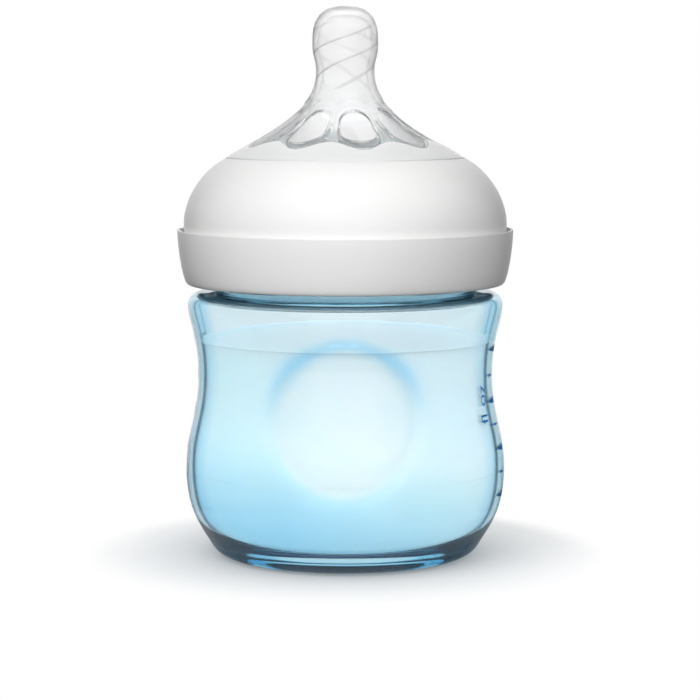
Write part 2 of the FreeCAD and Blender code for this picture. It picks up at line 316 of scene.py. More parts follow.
# where it is plain white: far off, an even share close by, and behind the bottle's plastic
reach = addNode(tree, "ShaderNodeVectorMath", {0: place}, operation="LENGTH")
far = addNode(tree, "ShaderNodeMapRange", {
    "Value": reach.outputs["Value"],
    "From Min": studio["floorFade"][0], "From Max": studio["floorFade"][1]},
    interpolation_type="SMOOTHSTEP")
even = addNode(tree, "ShaderNodeMath", {0: far, 1: studio["floorEven"]}, operation="MAXIMUM")
openWhite = addNode(tree, "ShaderNodeMath", {0: even, 1: straight}, operation="MULTIPLY")
glass = addNode(tree, "ShaderNodeMath", {0: bent, 1: gathered}, operation="ADD")
through = addNode(tree, "ShaderNodeMath", {0: glass, 1: studio["floorThrough"]}, operation="MULTIPLY")
white = addNode(tree, "ShaderNodeMath", {0: openWhite, 1: through}, operation="MAXIMUM")
# the matt paper, with a painted contact shadow right under the bottle's edge
shade = addNode(tree, "ShaderNodeAmbientOcclusion", {"Distance": studio["contactShadowReach"]}, samples=8)
contactShadow = addNode(tree, "ShaderNodeMapRange", {
    "Value": shade.outputs["AO"], "To Min": studio["floorContactShadow"], "To Max": 1.0})
tone = addNode(tree, "ShaderNodeMapRange", {
    "Value": straight, "To Min": studio["floorBounce"], "To Max": studio["floorNear"]})
shaded = addNode(tree, "ShaderNodeMath", {0: contactShadow, 1: tone}, operation="MULTIPLY")
matt = addNode(tree, "ShaderNodeBsdfDiffuse", {"Color": shaded})
# the plain white: it follows the card, dims with the painted contact shadow right by the bottle and shines
# on the milk
way = addNode(tree, "ShaderNodeVectorMath", {0: place}, operation="NORMALIZE")
shadowDimmed = addNode(tree, "ShaderNodeMath", {0: contactShadow, 1: bent}, operation="MAXIMUM")
seen = addNode(tree, "ShaderNodeMath", {0: cardBehind(tree, way), 1: shadowDimmed}, operation="MULTIPLY")
forMilk = addNode(tree, "ShaderNodeMath", {0: gathered, 1: studio["floorGathered"]}, operation="MULTIPLY")
level = addNode(tree, "ShaderNodeMath", {0: seen, 1: forMilk}, operation="MAXIMUM")
glow = addNode(tree, "ShaderNodeEmission", {"Color": (1, 1, 1, 1), "Strength": level})
sweep = addNode(tree, "ShaderNodeMixShader", {0: white, 1: matt, 2: glow})
addNode(tree, "ShaderNodeOutputMaterial", {"Surface": sweep})
floorMesh.materials.append(floorPaper)
print("camera, lamps and floor are set")

# Bottle: clear tinted plastic, turned from one closed outline and dished at the front

bottle = {
    "columns": 320,                # points round it
    "wall": 1.05, "base": 2.6,     # thicknesses
    # the outside as curves: start, handle leaving it, handle arriving at the end, end
    "heel": ((28.0, 2.4), (2.4, 4.0), (0, 8.8), (33.25, 18.4)),
    "belly": ((33.25, 18.4), (0, 7.84), (0, 8.82), (30.65, 38.0)),
    "chest": ((30.65, 38.0), (0, 7.58), (0, 3.0), (32.75, 52.3)),
    "shoulder": ((32.75, 52.3), (0, 1.26), (-2.4, 0), (29.55, 55.1)),
    "floorEdge": 21.5,             # radius where the flat floor inside turns into the heel
    # radii, the heights of its rim and of its foot on both sides of the wall, and their rounds
    "neck": {"radius": 27.0, "bore": 25.6, "rim": 70.0, "rimRound": 0.35,
             "foot": 55.1, "footInside": 53.9, "footRound": 0.8},
    # the medallion: its middle's height, how deep it is outside and inside, and its sloped border
    "dish": {"height": 31.5, "radius": 16.9, "border": 3.5, "depth": 0.6, "inside": 0.25,
             "rows": (13.5, 49.5), "outside": 28},     # between these heights, outside this radius
    # the ridge's first height, half its width at base and crest, and its start and fade in degrees
    "thread": {"pitch": 5.0, "depth": 1.2, "low": 59.4, "turns": 1.45, "base": 1.15, "crest": 0.45,
               "start": 40.0, "fade": 25.0, "rows": (56.5, 69.5)},
    # painted shade: a darker band in the border, where it faces down away from the light; top is where it
    # fades in, as the sine of the way up
    "borderShade": {"radius": 15.3, "width": 1.7, "amount": 0.5, "top": (-0.2, 1)},
    "neckShade": 0.3,              # the last of the shoulder's height, where painted shade under the ring covers it all over
}


def dishDepth(radii, heights, angles):
    # how far a wall dips inside the medallion: a smooth step across its border
    size = bottle["dish"]
    distance = np.hypot(radii * np.sin(angles), heights - size["height"])
    front = np.cos(angles) > 0
    return size["depth"] * front * smoothStep(size["radius"] - distance, 0, size["border"])


def threadRidge(heights, angles, size):
    # a trapezoid ridge along a right-hand helix: its crest rises by the pitch on each turn,
    # and it fades in and out over its first and last degrees
    turn = np.degrees(angles) - size["start"]
    ridge = np.zeros(np.broadcast(heights, angles).shape)
    for lap in range(-2, 4):
        along = turn + 360 * lap
        centre = size["low"] + size["pitch"] * along / 360
        side = (size["base"] - np.abs(heights - centre)) / (size["base"] - size["crest"])
        ends = smoothStep(along, 0, size["fade"]) * smoothStep(360 * size["turns"] - along, 0, size["fade"])
        ridge = np.maximum(ridge, smoothStep(side, 0, 1) * ends)
    return ridge * size["depth"]


def innerHeel():
    # the inside of the heel, from the flat floor out and up to the belly's wall
    bellyRadius, bellyStart = bottle["belly"][0]
    return bezierRows((bottle["floorEdge"], bottle["base"]), (6.33, 0), (0, 10.64),
                      (bellyRadius - bottle["wall"], bellyStart), 26)


def bottleRows():
    # outside from the middle of the underside up to the rim, then the inside down to the floor
    underside = joinRows(
        bezierRows((0, 0.8), (7.8, 0), (5.85, 0), (19.5, 0.56), 12),
        bezierRows((19.5, 0.56), (0.8, 0), (0.48, 0), (21.1, 0), 6),
        straightRows((21.1, 0), (22.5, 0), 3),
        bezierRows((22.5, 0), (3.3, 0), (0.72, 1.2), bottle["heel"][0], 12),
        bezierRows(*bottle["heel"], 24))
    side = joinRows(bezierRows(*bottle["belly"], 30), bezierRows(*bottle["chest"], 24),
                    bezierRows(*bottle["shoulder"], 10))
    size = bottle["neck"]
    radius, bore, rim, edge = size["radius"], size["bore"], size["rim"], size["rimRound"]
    foot, footInside, bend = size["foot"], size["footInside"], size["footRound"]
    shoulderEnd = side[-1, 0]
    neck = joinRows(
        straightRows((shoulderEnd, foot), (radius + bend, foot), 3),
        arcRows((radius + bend, foot + bend), bend, 270, 180, 6),
        straightRows((radius, foot + bend), (radius, rim - edge), 72),
        arcRows((radius - edge, rim - edge), edge, 0, 90, 4),
        arcRows((bore + edge, rim - edge), edge, 90, 180, 4),
        straightRows((bore, rim - edge), (bore, footInside + bend), 4),
        arcRows((bore + bend, footInside + bend), bend, 180, 270, 5),
        straightRows((bore + bend, footInside), (shoulderEnd, footInside), 3))
    heel = innerHeel()
    inside = side + leftNormals(side) * bottle["wall"]
    inside[0], inside[-1] = heel[-1], (shoulderEnd, footInside)
    floorRows = straightRows((bottle["floorEdge"], bottle["base"]), (0, bottle["base"]), 6)
    return joinRows(underside, side, neck, inside[::-1], heel[::-1], floorRows)


rows = bottleRows()
radii, heights, angles = turnGrid(rows, bottle["columns"])
inward = leftNormals(rows)
innerRow = np.arange(len(rows)) > np.argmax(rows[:, 1])
inward[innerRow] *= -1                     # the inside runs downwards, so its left is outwards
size = bottle["dish"]
dishLow, dishHigh = size["rows"]
sideRow = (rows[:, 1] > dishLow) & (rows[:, 1] < dishHigh) & (rows[:, 0] > size["outside"])
dip = dishDepth(radii, heights, angles) * sideRow[:, None]
dip[innerRow] *= size["inside"] / size["depth"]     # the wall is thinner there
threadLow, threadHigh = bottle["thread"]["rows"]
neckRow = (rows[:, 0] == bottle["neck"]["radius"]) & (rows[:, 1] > threadLow) & (rows[:, 1] < threadHigh)
ridge = threadRidge(heights, angles, bottle["thread"]) * neckRow[:, None]
bottleShell = turnedPiece(
    "bottleShell", radii + inward[:, :1] * dip + ridge, heights + inward[:, 1:] * dip, angles)
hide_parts("bottle")
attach(bottleShell, "bottle")

# painted shade along the top of the medallion's border, where it faces down away from the light
border = bottle["borderShade"]
rise = heights - size["height"]
reach = np.hypot(radii * np.sin(angles), rise)
paintedShade = border["amount"] * np.exp(-((reach - border["radius"]) / border["width"]) ** 2)
paintedShade *= smoothStep(rise / reach, *border["top"]) * (np.cos(angles) > 0) * (sideRow & ~innerRow)[:, None]
# and painted shade where the shoulder turns into the neck, under the ring
neckFoot = bottle["neck"]["foot"]
paintedShade += smoothStep(heights, neckFoot - bottle["neckShade"], neckFoot) * ~innerRow[:, None]
addValues(bottleShell, "paintedShade", paintedShade[columnEnds(paintedShade)])
print("bottle:", len(bottleShell.data.polygons), "faces")

# Milk, held a hair off the wall

milk = {
    "columns": 240, "gap": 0.20, "level": 44.9,
    # the raised edge: it drops to a third over each fall, and is drawn as far as its reach
    "meniscus": {"height": 0.55, "fall": 0.8, "reach": 4.8, "crowding": 1.6},
    "dip": 0.8,                # how far the medallion pushes it in
    "dipFade": (22, 28),       # radii between which that grows
    "dipUnder": (0.5, 4),      # and depths under the level
    "rise": (2, 32),           # heights between which it turns from blue to white
    "lean": 10.0,              # painted shade: how much whiter it gets towards the right, for each metre
    "cloud": 0.10,             # how much its clouds add
    "dishLight": {"edge": (17.8, 13.8), "front": 10.0, "amount": 0.95},   # painted light behind the medallion
}


def milkRows():
    # up the inside of the wall to the level, over the raised edge and flat to the middle:
    # the edge's height falls off exponentially with the way from the wall
    side = joinRows(bezierRows(*bottle["belly"], 30), bezierRows(*bottle["chest"], 60))
    floorRows = straightRows((0, bottle["base"]), (bottle["floorEdge"], bottle["base"]), 6)
    wall = joinRows(floorRows, innerHeel(), side + leftNormals(side) * bottle["wall"])
    rows = wall + leftNormals(wall) * milk["gap"]
    rows[0] = (0, bottle["base"] + milk["gap"])
    size = milk["meniscus"]
    rows = rows[rows[:, 1] < milk["level"] + size["height"]]
    edge = rows[-1, 0]
    away = np.linspace(0, 1, 14)[1:] ** size["crowding"] * size["reach"]     # closer by the wall
    raised = size["height"] * np.exp(-away / size["fall"])
    top = np.stack([edge - away, milk["level"] + raised], axis=1)
    return joinRows(rows, top, straightRows(top[-1], (0, milk["level"]), 8))


radii, heights, angles = turnGrid(milkRows(), milk["columns"])
# the dish pushes the milk in as it does the wall, and its reach across the top fades to the middle
dip = dishDepth(radii, heights, angles) * smoothStep(radii, *milk["dipFade"])
dip *= milk["dip"] / bottle["dish"]["depth"] * smoothStep(milk["level"] - heights, *milk["dipUnder"])
milkBody = turnedPiece("milkBody", radii - dip, heights, angles)
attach(milkBody, "bottle")
print("milk:", len(milkBody.data.polygons), "faces")

# Teat: silicone, one closed outline, with the petal pockets inside

teat = {
    # corners of the plug in the neck, the flange on its rim and the groove that holds the ring
    "foot": ((23.2, 68.5), (25.3, 68.5), (25.3, 70), (28.3, 70), (28.3, 72), (25.2, 72), (25.2, 78.8),
             (25.6, 78.8), (25.6, 80.0), (24.3, 80.0), (24.3, 82.95)),
    # the outside and the inside as curves: start, handle leaving it, handle arriving at the end, end
    "cone": ((24.3, 82.95), (-4.0, 3.036), (0, 8.97), (6.05, 100.2)),
    "waist": ((6.05, 100.2), (0, 3.08), (0, 4.02), (6.85, 106.9)),
    "tip": ((6.85, 106.9), (0, 6.486), (-2.466, 0), (0.25, 113.8)),
    "innerCone": ((23.2, 81.75), (-4.0, 3.036), (0, 8.97), (4.75, 100.2)),
    "innerWaist": ((4.75, 100.2), (0.15, 2.4), (0, 3.6), (5.95, 106.9)),
    "innerTip": ((5.95, 106.9), (0, 5.25), (-2.15, 0), (0.25, 112.5)),
    "coneRows": 92, "sharpAngle": 50,
    "petals": 9, "columnsPerPetal": 40,
    "firstPetal": 10.6,        # degrees to the right of the front
    # a petal: the cone's radius at its middle, its two rounds, how far their centres lie apart
    # along the slope, and where the lower one lies
    "petalRadius": 14.6, "lowerRound": 4.4, "upperRound": 3.5, "between": 4.9, "lowerCentre": -2.0,
    "membrane": 0.8,           # thickness of its window
    "pocketEdge": (-0.2, 0.1), "windowEdge": 0.15,         # where the pocket's wall and the frost end
    "rim": {"height": 0.1, "at": 0.15, "width": 0.3},      # raised round each window
    # its skin is a padded foot, a clear band and the frosted nipple: the heights of the clear
    # band's two borders and how far each waves with the petals, how deep it is sunk, its edges
    "pad": (85.1, 1.5), "frost": (94.0, 0.95), "sink": 0.14, "bandEdge": 0.12,
    "nippleFrost": 0.8, "coneFrost": 0.5,      # how frosted each is
    # grooves in the nipple: turn in degrees by slope and bend about a middle height, their ends,
    # their width and depth, the width of a line of painted shade along an edge and how dark the second one
    # is
    "spiral": {"starts": 3, "middle": 103.1, "slope": 25.0, "bend": 0.45, "low": 96.2, "high": 110.4,
               "fade": 1.2, "width": 0.75, "depth": 0.22, "soft": 0.1, "line": 0.16, "secondShadeLine": 0.4,
               "coneRows": 30},
}


def spiralTurn(heights):
    # degrees that a spiral line has turned at a height, slope t + bend t squared; it stands still
    # outside its reach
    size = teat["spiral"]
    t = np.clip(heights, size["low"] - 1, size["high"] + 1) - size["middle"]
    return size["slope"] * t + size["bend"] * t * t


def teatRows():
    # outside from the plug in the neck up to the tip, then down the inside; the cone's rows are
    # paired, so that the inside can be moved to a fixed depth under the outside
    foot = np.array(teat["foot"], float)
    cone = bezierRows(*teat["cone"], teat["coneRows"])
    nipple = joinRows(bezierRows(*teat["waist"], 18), bezierRows(*teat["tip"], 26))
    innerNipple = joinRows(bezierRows(*teat["innerWaist"], 12), bezierRows(*teat["innerTip"], 14))
    innerCone = bezierRows(*teat["innerCone"], teat["coneRows"])
    return foot, cone, nipple, innerNipple, innerCone


foot, cone, nipple, innerNipple, innerCone = teatRows()
bore = straightRows(innerCone[0], foot[0], 4)[:-1]
rows = joinRows(foot, cone, nipple, innerNipple[::-1], innerCone[::-1], bore)
coneStart = len(foot) - 1
innerStart = coneStart + len(cone) + len(nipple) - 1 + len(innerNipple) - 1
radii, heights, around = turnGrid(rows, teat["petals"] * teat["columnsPerPetal"])
# the grid turns with the spiral, so that each line lies along a column
angles = around + np.radians(spiralTurn(rows[:, 1]))[:, None]


def petalDistance(radii, heights, angles):
    # signed distance in the cone's slope to the nearest petal: two rounds of different size,
    # one above the other, and the straight flanks that touch both
    middleRow = np.argmin(np.abs(cone[:, 0] - teat["petalRadius"]))
    along = np.gradient(cone, axis=0)[middleRow]
    along /= np.linalg.norm(along)
    step = 2 * math.pi / teat["petals"]
    off = (angles - math.radians(teat["firstPetal"]) + step / 2) % step - step / 2
    u = np.abs(radii * np.sin(off))
    v = ((radii * np.cos(off) - cone[middleRow, 0]) * along[0] + (heights - cone[middleRow, 1]) * along[1]
         - teat["lowerCentre"])
    r1, r2, h = teat["lowerRound"], teat["upperRound"], teat["between"]
    b = (r1 - r2) / h
    a = math.sqrt(1 - b * b)
    k = -b * u + a * v
    upper = np.where(k > a * h, np.hypot(u, v - h) - r2, a * u + b * v - r1)
    return np.where(k < 0, np.hypot(u, v) - r1, upper), off


coneRow = slice(coneStart, coneStart + len(cone))
innerConeRow = slice(innerStart, innerStart + len(innerCone))
outerNormals = leftNormals(cone)
distance, off = petalDistance(radii[coneRow], heights[coneRow], angles[coneRow])

# outside: a low rounded rim round each window, and the frosted skin a little proud of the clear
# band, whose borders wave with the petals
wave = teat["petals"] / 2 * off
padTop = teat["pad"][0] + teat["pad"][1] * np.sin(wave) ** 2
frostLow = teat["frost"][0] + teat["frost"][1] * np.abs(np.cos(wave))
bandEdge = teat["bandEdge"]
padded = smoothStep(padTop - heights[coneRow], -bandEdge, bandEdge)
frosted = smoothStep(heights[coneRow] - frostLow, -bandEdge, bandEdge)
size = teat["rim"]
rim = size["height"] * np.exp(-((distance - size["at"]) / size["width"]) ** 2)
sink = teat["sink"] * (1 - frosted) * (1 - padded) - rim
radii[coneRow] += outerNormals[:, :1] * sink
heights[coneRow] += outerNormals[:, 1:] * sink

# inside: pockets that leave a thin window
windowSkin = (cone + outerNormals * teat["membrane"])[::-1]
window = smoothStep(-distance, *teat["pocketEdge"])[::-1]
radii[innerConeRow] += (windowSkin[:, :1] - radii[innerConeRow]) * window
heights[innerConeRow] += (windowSkin[:, 1:] - heights[innerConeRow]) * window

# spiral lines: shallow grooves inside the nipple, with painted shade at their two edges
size = teat["spiral"]
rowNumbers = np.arange(len(rows))
insideRows = (rowNumbers > innerStart - len(innerNipple)) & (rowNumbers < innerStart + size["coneRows"])
fade = smoothStep(rows[:, 1], size["low"], size["low"] + size["fade"])
fade *= smoothStep(-rows[:, 1], -size["high"], size["fade"] - size["high"]) * insideRows
fade = fade[:, None]
apart = 2 * math.pi / size["starts"]
offLine = ((around + apart / 2) % apart - apart / 2) * radii
half = size["width"] / 2
radii += smoothStep(half - np.abs(offLine), -size["soft"], size["soft"]) * fade * size["depth"]
creaseShade = np.exp(-((offLine - half) / size["line"]) ** 2) * fade
creaseShade += size["secondShadeLine"] * np.exp(-((offLine + half) / size["line"]) ** 2) * fade

teatSkin = turnedPiece("teatSkin", radii, heights, angles, teat["sharpAngle"])
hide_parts("teat")
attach(teatSkin, "teat")

coneFrost = teat["coneFrost"] * smoothStep(distance, -teat["windowEdge"], teat["windowEdge"])
frost = np.full(radii.shape, teat["nippleFrost"])
frost[coneRow] = np.maximum(np.maximum(coneFrost, frosted * teat["nippleFrost"]), padded)
frost[innerConeRow] = frost[coneRow][::-1]
padding = np.zeros(radii.shape)
padding[:coneStart] = 1.0
padding[coneRow] = padded
padding[innerConeRow] = padded[::-1]
for name, values in (("frost", frost), ("padding", padding), ("creaseShade", creaseShade)):
    addValues(teatSkin, name, values)
print("teat:", len(teatSkin.data.polygons), "faces")

# Inside thread of the ring, on a thin sleeve: its turns run just under the bottle's, which it
# pulls against

ringThread = {
    "columns": 240, "bore": 28.8, "outside": 29.4, "low": 57.6, "high": 66.9,
    "margin": 0.4,             # how far it stays from the sleeve's ends
    "thread": {"low": 57.8, "turns": 1.9, "start": 10.0},      # the rest is as on the bottle
}
low, high, bore = ringThread["low"], ringThread["high"], ringThread["bore"]
rows = np.vstack([straightRows((ringThread["outside"], low), (ringThread["outside"], high), 2),
                  straightRows((bore, high), (bore, low), 60)])
radii, heights, angles = turnGrid(rows, ringThread["columns"])
margin = ringThread["margin"]
inner = (radii < bore + 0.01) & (heights > low + margin) & (heights < high - margin)
ridge = threadRidge(heights, angles, {**bottle["thread"], **ringThread["thread"]}) * inner
threadPiece = turnedPiece("ringThread", radii - ridge, heights, angles)
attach(threadPiece, "ring")

# Printed scales, wrapped round the bottle; angles in degrees from the front, heights and sizes
# in millimetres

printing = {
    "lift": 0.03,              # how far the ink stands on the wall
    "radius": 31.5,            # the wall's middle radius, which turns angles into lengths
    "ounces": {"heights": (43.7, 33.0, 23.3, 13.5), "tip": 71.8, "base": 81.3, "baseHalf": 0.8,
               "halves": (38.3, 28.2, 18.4), "bar": (73.4, 79.0), "barHalf": 0.2,
               "number": 91.5, "numberSize": 3.6, "unit": (64.8, 33.0), "unitSize": 4.704},
    "millilitres": {"heights": (45.5, 38.2, 30.7, 23.4, 16.3), "values": (120, 100, 80, 60, 40),
                    "bar": (-101.0, -92.0), "barHalf": 0.25,
                    "number": -87.5, "numberSize": 3.1, "unit": (-99, 41.8), "unitSize": 3.36},
    "cutsAcross": (-64, 64, 0.6), "cutsUp": (8, 50, 1.0),      # it is cut into strips, to bend round
}
outline = joinRows(*[bezierRows(*bottle[part], 60) for part in ("heel", "belly", "chest")])
outlineNormals = -leftNormals(outline)


def wrapOnBottle(across, heights, lift):
    # flat artwork on the wall: across is the arc length from the front in millimetres
    radius = np.interp(heights, outline[:, 1], outline[:, 0])
    out = np.interp(heights, outline[:, 1], outlineNormals[:, 0])
    up = np.interp(heights, outline[:, 1], outlineNormals[:, 1])
    return roundAxis(radius + out * lift, heights + up * lift, across / printing["radius"])


def arcLength(degrees):
    # the angle in radians times the wall's middle radius
    return math.radians(degrees) * printing["radius"]


flatParts = []             # (points across and up, faces) of everything printed


def addShape(corners):
    # one flat face through its corners
    flatParts.append((np.array(corners, float), [tuple(range(len(corners)))]))


def addBar(first, last, height, half):
    # a level bar between two angles, half its thickness to each side of a height
    start, end = arcLength(first), arcLength(last)
    addShape([(start, height - half), (end, height - half), (end, height + half), (start, height + half)])


def addText(text, size, degrees, height, quarterTurns=0):
    # the letters' outlines as flat faces, centred on a place on the wall
    curve = bpy.data.curves.new("letters", "FONT")
    curve.body = text
    curve.size = size
    curve.align_x = "CENTER"
    curve.align_y = "CENTER"
    curve.resolution_u = 6
    letters = bpy.data.objects.new("letters", curve)
    mesh = bpy.data.meshes.new_from_object(letters)
    points = np.array([v.co[:2] for v in mesh.vertices])
    points -= (points.min(axis=0) + points.max(axis=0)) / 2
    turn = math.radians(90 * quarterTurns)
    points = points @ np.array([[math.cos(turn), math.sin(turn)], [-math.sin(turn), math.cos(turn)]])
    flatParts.append((points + (arcLength(degrees), height), [tuple(p.vertices) for p in mesh.polygons]))
    bpy.data.objects.remove(letters)
    bpy.data.curves.remove(curve)
    bpy.data.meshes.remove(mesh)


ounces = printing["ounces"]
for count, height in zip((4, 3, 2, 1), ounces["heights"]):
    tip, flat = arcLength(ounces["tip"]), arcLength(ounces["base"])
    addShape([(tip, height), (flat, height - ounces["baseHalf"]), (flat, height + ounces["baseHalf"])])
    addText(str(count), ounces["numberSize"], ounces["number"], height)
for height in ounces["halves"]:
    addBar(*ounces["bar"], height, ounces["barHalf"])
addText("fl oz", ounces["unitSize"], *ounces["unit"], 1)
millilitres = printing["millilitres"]
for value, height in zip(millilitres["values"], millilitres["heights"]):
    addBar(*millilitres["bar"], height, millilitres["barHalf"])
    addText(str(value), millilitres["numberSize"], millilitres["number"], height)
addText("ml", millilitres["unitSize"], *millilitres["unit"])

work = bmesh.new()
for points, faces in flatParts:
    corners = [work.verts.new((x, y, 0)) for x, y in points]
    for face in faces:
        work.faces.new([corners[i] for i in face])
for way, cuts in (((1, 0, 0), printing["cutsAcross"]), ((0, 1, 0), printing["cutsUp"])):
    for cut in np.arange(*cuts):
        parts = work.verts[:] + work.edges[:] + work.faces[:]
        bmesh.ops.bisect_plane(work, geom=parts, plane_co=[cut * axis for axis in way], plane_no=way)
bmesh.ops.triangulate(work, faces=work.faces[:])
inkMesh = bpy.data.meshes.new("printedScale")
work.to_mesh(inkMesh)
work.free()
flat = np.empty(len(inkMesh.vertices) * 3)
inkMesh.vertices.foreach_get("co", flat)
flat = flat.reshape(-1, 3)
wrapped = wrapOnBottle(flat[:, 0], flat[:, 1], printing["lift"]) * mm
inkMesh.vertices.foreach_set("co", wrapped.ravel())
inkMesh.update()
printedScale = bpy.data.objects.new("printedScale", inkMesh)
scene.collection.objects.link(printedScale)
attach(printedScale, "bottle")
print("printing:", len(inkMesh.polygons), "faces")

# Materials

# Clear polypropylene, blow moulded and tinted pale blue: glassy, with faint ripples about 17 mm
# long, a painted bluer shade where the wall is seen edge on and a painted thin dark line where its inside
# ends
bottlePlastic, tree = newMaterial("tintedBottlePlastic")
place = addNode(tree, "ShaderNodeTexCoord").outputs["Object"]
ripple = addNode(tree, "ShaderNodeTexNoise", {"Vector": place, "Scale": 60.0, "Detail": 1.0})
swell = addNode(tree, "ShaderNodeBump", {
    "Height": ripple.outputs["Fac"], "Strength": 0.05, "Distance": 0.0004})
tint = addNode(tree, "ShaderNodeValToRGB", {0: ripple.outputs["Fac"]}, ((0, "#fafeff"), (1, "#ffffff")))
# painted shade along the top of the medallion's border and where the shoulder meets the neck
paintedShadeHere = addNode(tree, "ShaderNodeAttribute", attribute_name="paintedShade")
paintedShadeTone = addNode(tree, "ShaderNodeValToRGB", {0: paintedShadeHere.outputs["Fac"]},
                    ((0, "#ffffff"), (0.5, "#a6def9"), (1, "#6b90a1")))
tintAndShade = addNode(tree, "ShaderNodeMix", {0: 1.0, 6: tint, 7: paintedShadeTone},
                 data_type="RGBA", blend_type="MULTIPLY")
# painted shade: bluer where the wall is seen edge on, with a thin dark line where its inside ends
edgeOn = addNode(tree, "ShaderNodeLayerWeight", {"Blend": 0.5})
edgeShadeTone = addNode(tree, "ShaderNodeValToRGB", {0: edgeOn.outputs["Facing"]},
                   ((0.50, "#ffffff"), (0.68, "#b4e4f8"), (0.705, "#2f7ea6"), (0.73, "#c4ecfb"),
                    (0.78, "#dcf6fd"), (0.90, "#6fc2e4")))
edgeShadeTint = addNode(tree, "ShaderNodeMix", {0: 1.0, 6: tintAndShade.outputs[2], 7: edgeShadeTone},
                   data_type="RGBA", blend_type="MULTIPLY")
clear = addNode(tree, "ShaderNodeBsdfPrincipled", {
    "Base Color": edgeShadeTint.outputs[2], "Normal": swell,
    "Roughness": 0.02, "IOR": 1.5, "Transmission Weight": 0.97})
depth = addNode(tree, "ShaderNodeVolumeAbsorption", {"Color": linearColour("#49daf4"), "Density": 118.0})
addNode(tree, "ShaderNodeOutputMaterial", {"Surface": clear, "Volume": depth})
bottleShell.data.materials.append(bottlePlastic)

# Thin milk: light wanders far inside it, so that it glows evenly, a little bluer towards the base,
# with faint clouds about 30 mm wide
milkLiquid, tree = newMaterial("thinMilk")
place = addNode(tree, "ShaderNodeTexCoord").outputs["Object"]
split = addNode(tree, "ShaderNodeSeparateXYZ", {0: place})
rise = addNode(tree, "ShaderNodeMapRange", {
    "Value": split.outputs["Z"], "From Min": milk["rise"][0] * mm, "From Max": milk["rise"][1] * mm},
    interpolation_type="SMOOTHSTEP")
cloud = addNode(tree, "ShaderNodeTexNoise", {"Vector": place, "Scale": 35.0, "Detail": 2.0})
# painted shade: bluer towards the left, whiter towards the right
lean = addNode(tree, "ShaderNodeMath", {0: split.outputs["X"], 1: milk["lean"], 2: rise},
               operation="MULTIPLY_ADD")
drift = addNode(tree, "ShaderNodeMath", {0: cloud.outputs["Fac"], 1: milk["cloud"], 2: lean},
                operation="MULTIPLY_ADD")
# painted light: whiter behind the thinner wall of the medallion
dishLight = milk["dishLight"]
flattened = addNode(tree, "ShaderNodeVectorMath", {0: place, 1: (1, 0, 1)}, operation="MULTIPLY")
fromDish = addNode(tree, "ShaderNodeVectorMath", {0: flattened, 1: (0, 0, bottle["dish"]["height"] * mm)},
                   operation="DISTANCE")
inDish = addNode(tree, "ShaderNodeMapRange", {
    "Value": fromDish.outputs["Value"], "To Min": 0.0, "To Max": dishLight["amount"],
    "From Min": dishLight["edge"][0] * mm, "From Max": dishLight["edge"][1] * mm},
    interpolation_type="SMOOTHSTEP")
inFront = addNode(tree, "ShaderNodeMapRange", {
    "Value": split.outputs["Y"], "From Min": 0.0, "From Max": -dishLight["front"] * mm})
dishLightHere = addNode(tree, "ShaderNodeMath", {0: inDish, 1: inFront}, operation="MULTIPLY")
whiter = addNode(tree, "ShaderNodeMath", {0: drift, 1: dishLightHere}, operation="MAXIMUM")
cream = addNode(tree, "ShaderNodeValToRGB", {0: whiter}, ((0, "#a9dff7"), (1, "#f4fbfe")))
# painted light: the surface that faces up glows, standing in for the light that falls into the bottle
geometry = addNode(tree, "ShaderNodeNewGeometry")
facing = addNode(tree, "ShaderNodeSeparateXYZ", {0: geometry.outputs["Normal"]})
paintedTopGlow = addNode(tree, "ShaderNodeMapRange", {
    "Value": facing.outputs["Z"], "From Min": 0.5, "From Max": 1.0, "To Min": 0.0, "To Max": 0.33})
liquid = addNode(tree, "ShaderNodeBsdfPrincipled", {
    "Base Color": cream, "Roughness": 0.3, "IOR": 1.345, "Specular IOR Level": 0.0,
    "Subsurface Weight": 1.0, "Subsurface Radius": (0.003, 0.0035, 0.004), "Subsurface Scale": 1.0,
    "Emission Color": linearColour("#d9f1fc"), "Emission Strength": paintedTopGlow})
# painted shade: a dark blue reflection where the upright side is seen edge on, a dark line along the milk's
# edge
grazing = addNode(tree, "ShaderNodeFresnel", {"IOR": 1.345})
darkEdgeHere = addNode(tree, "ShaderNodeValToRGB", {0: grazing},
                   ((0.03, 0), (0.20, 0.12), (0.29, 0.35), (0.34, 1)))
darkEdgeTone = addNode(tree, "ShaderNodeValToRGB", {0: grazing}, ((0.26, "#3fafdd"), (0.33, "#135877")))
upright = addNode(tree, "ShaderNodeMapRange", {
    "Value": facing.outputs["Z"], "From Min": 0.3, "From Max": 0.7, "To Min": 1.0, "To Max": 0.0})
darkEdgeMask = addNode(tree, "ShaderNodeMath", {0: darkEdgeHere, 1: upright}, operation="MULTIPLY")
darkEdgeGloss = addNode(tree, "ShaderNodeBsdfGlossy", {"Color": darkEdgeTone, "Roughness": 0.15})
liquidWithDarkEdge = addNode(tree, "ShaderNodeMixShader", {0: darkEdgeMask, 1: liquid, 2: darkEdgeGloss})
addNode(tree, "ShaderNodeOutputMaterial", {"Surface": liquidWithDarkEdge})
milkBody.data.materials.append(milkLiquid)

